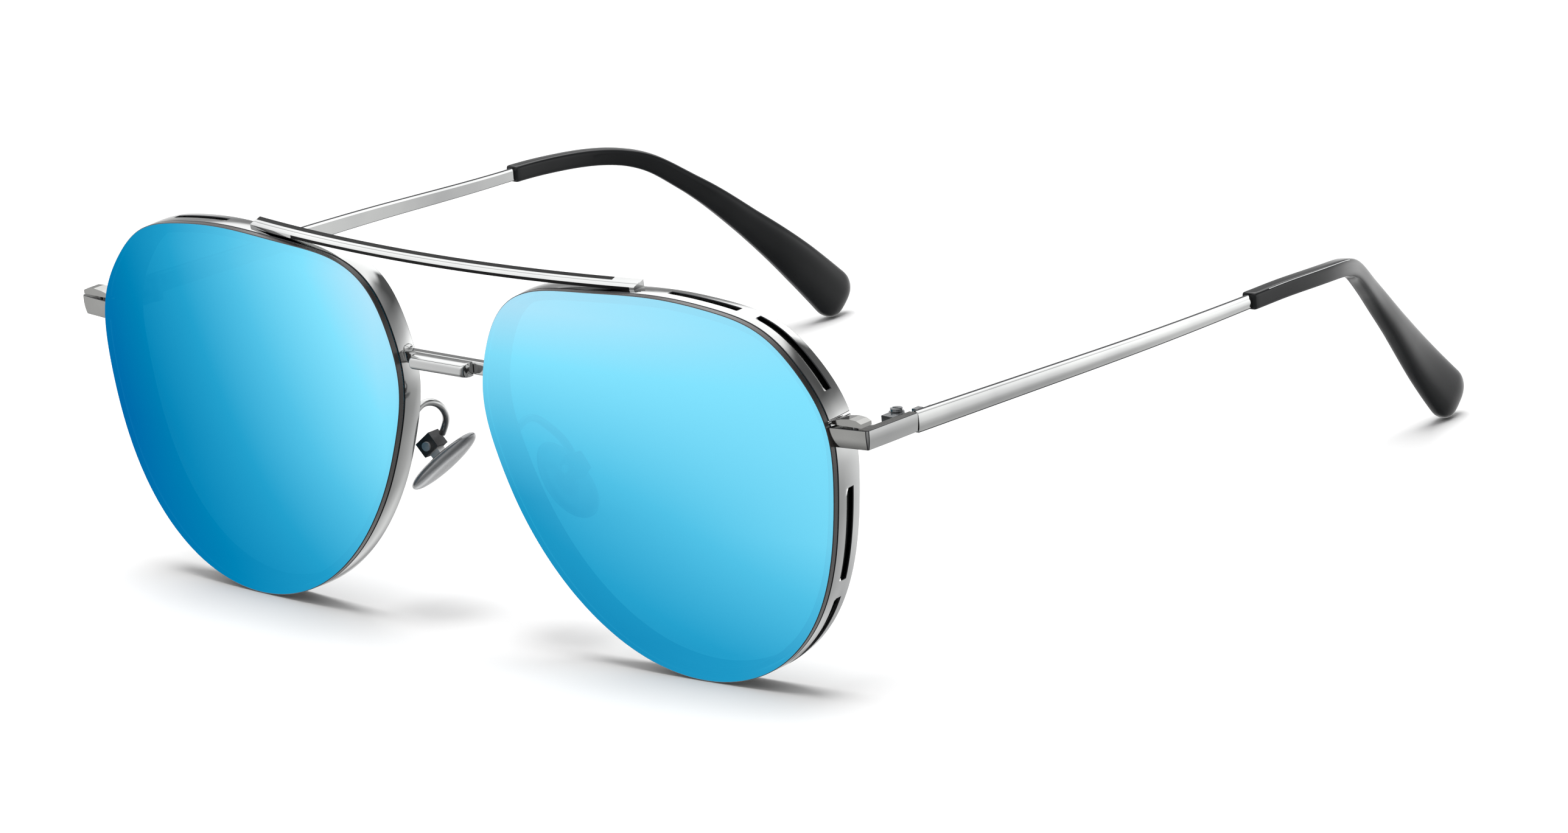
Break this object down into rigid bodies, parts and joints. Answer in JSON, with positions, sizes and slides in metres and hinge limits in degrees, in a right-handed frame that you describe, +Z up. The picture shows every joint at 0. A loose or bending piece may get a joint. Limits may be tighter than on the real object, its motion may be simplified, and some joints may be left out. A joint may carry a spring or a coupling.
{
  "type": "sunglasses",
  "caption": "Aviator sunglasses: pear-shaped blue mirror lenses, slotted silver metal rims, flat brow bar, lower bridge, rocking nose pads, folding temples with hooked black tips.",
  "frame": {"origin": "middle of the bounding box, on the surface the glasses stand on with the temples open", "axes": "+Z up; the lenses face -Y and the temples run towards +Y; +X is the wearer's left"},
  "size_m": [0.1466, 0.1468, 0.0548],
  "materials": {
    "lens_mirror": "blue-to-cyan mirror coating on a dark tinted lens",
    "silver_plating": "bright silver plating, polished",
    "hinge_steel": "bare satin steel",
    "black_lacquer": "gloss black lacquer",
    "black_acetate": "polished near-black acetate",
    "pad_silicone": "smooth silver-grey soft plastic"
  },
  "bodies": {
    "frame": {"brow_bar": "silver_plating", "bridge": "silver_plating", "lens_left": "lens_mirror", "lens_right": "lens_mirror", "inner_rim_left": "black_lacquer", "inner_rim_right": "black_lacquer", "rim_band_left": "silver_plating", "rim_band_right": "silver_plating", "end_piece_left": "silver_plating", "end_piece_right": "silver_plating", "rim_lock_left": "silver_plating", "rim_lock_right": "silver_plating", "lock_screw_left": "hinge_steel", "lock_screw_right": "hinge_steel", "hinge_front_left": "hinge_steel", "hinge_front_right": "hinge_steel", "hinge_screw_left": "hinge_steel", "hinge_screw_right": "hinge_steel", "pad_arm_left": "silver_plating", "pad_arm_right": "silver_plating", "pad_box_left": "hinge_steel", "pad_box_right": "hinge_steel", "pad_screw_left": "hinge_steel", "pad_screw_right": "hinge_steel"},
    "temple_left": {"temple_bar_left": "silver_plating", "temple_tip_left": "black_acetate", "hinge_rear_left": "hinge_steel"},
    "temple_right": {"temple_bar_right": "silver_plating", "temple_tip_right": "black_acetate", "hinge_rear_right": "hinge_steel"},
    "pad_left": {"nose_pad_left": "pad_silicone", "pad_lug_left": "hinge_steel"},
    "pad_right": {"nose_pad_right": "pad_silicone", "pad_lug_right": "hinge_steel"}
  },
  "joints": [
    {"name": "temple_fold_left", "type": "hinge", "parent": "frame", "child": "temple_left", "pos_m": [0.07, -0.05906, 0.03709], "axis": [0, 0, 1], "range_deg": [0, 85]},
    {"name": "temple_fold_right", "type": "hinge", "parent": "frame", "child": "temple_right", "pos_m": [-0.07, -0.05906, 0.03709], "axis": [0, 0, -1], "range_deg": [0, 78]},
    {"name": "pad_rock_left", "type": "hinge", "parent": "frame", "child": "pad_left", "pos_m": [0.0128, -0.06242, 0.02348], "axis": [0.164, 0.984, -0.069], "range_deg": [-8, 8]},
    {"name": "pad_rock_right", "type": "hinge", "parent": "frame", "child": "pad_right", "pos_m": [-0.0128, -0.06242, 0.02348], "axis": [0.164, -0.984, 0.069], "range_deg": [-8, 8]}
  ]
}
